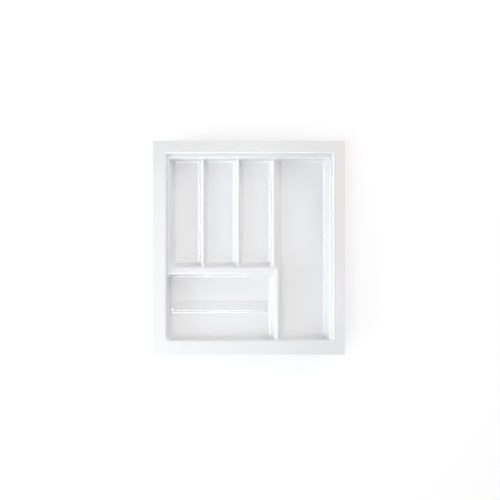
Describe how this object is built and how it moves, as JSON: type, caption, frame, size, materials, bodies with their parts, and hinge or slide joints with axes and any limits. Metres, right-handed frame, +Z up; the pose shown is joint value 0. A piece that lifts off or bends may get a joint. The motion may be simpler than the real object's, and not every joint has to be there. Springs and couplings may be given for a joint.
{
  "type": "cutlery tray",
  "caption": "Shallow white formed plastic drawer insert: a wide flat rim round a basin whose hollow ridges part it into cutlery slots, cross trays and a long side bay.",
  "frame": {"origin": "centre of the tray's outline, on the plane its floors rest on", "axes": "+X to the right, +Y to the rear of the drawer, +Z up out of the tray"},
  "size_m": [0.44, 0.49, 0.05],
  "materials": {
    "white_plastic": "gloss"
  },
  "bodies": {
    "root": {"rim_rear": "white_plastic", "rim_front": "white_plastic", "rim_left": "white_plastic", "rim_right": "white_plastic", "rear_wall": "white_plastic", "front_wall": "white_plastic", "left_wall_rear": "white_plastic", "left_wall_front": "white_plastic", "right_wall": "white_plastic", "cross_divider": "white_plastic", "long_divider_rear": "white_plastic", "long_divider_front": "white_plastic", "first_divider": "white_plastic", "second_divider": "white_plastic", "low_ridge": "white_plastic", "first_slot_floor": "white_plastic", "second_slot_floor": "white_plastic", "third_slot_floor": "white_plastic", "long_bay_floor": "white_plastic", "rear_tray_floor": "white_plastic", "front_tray_floor": "white_plastic"}
  },
  "joints": []
}
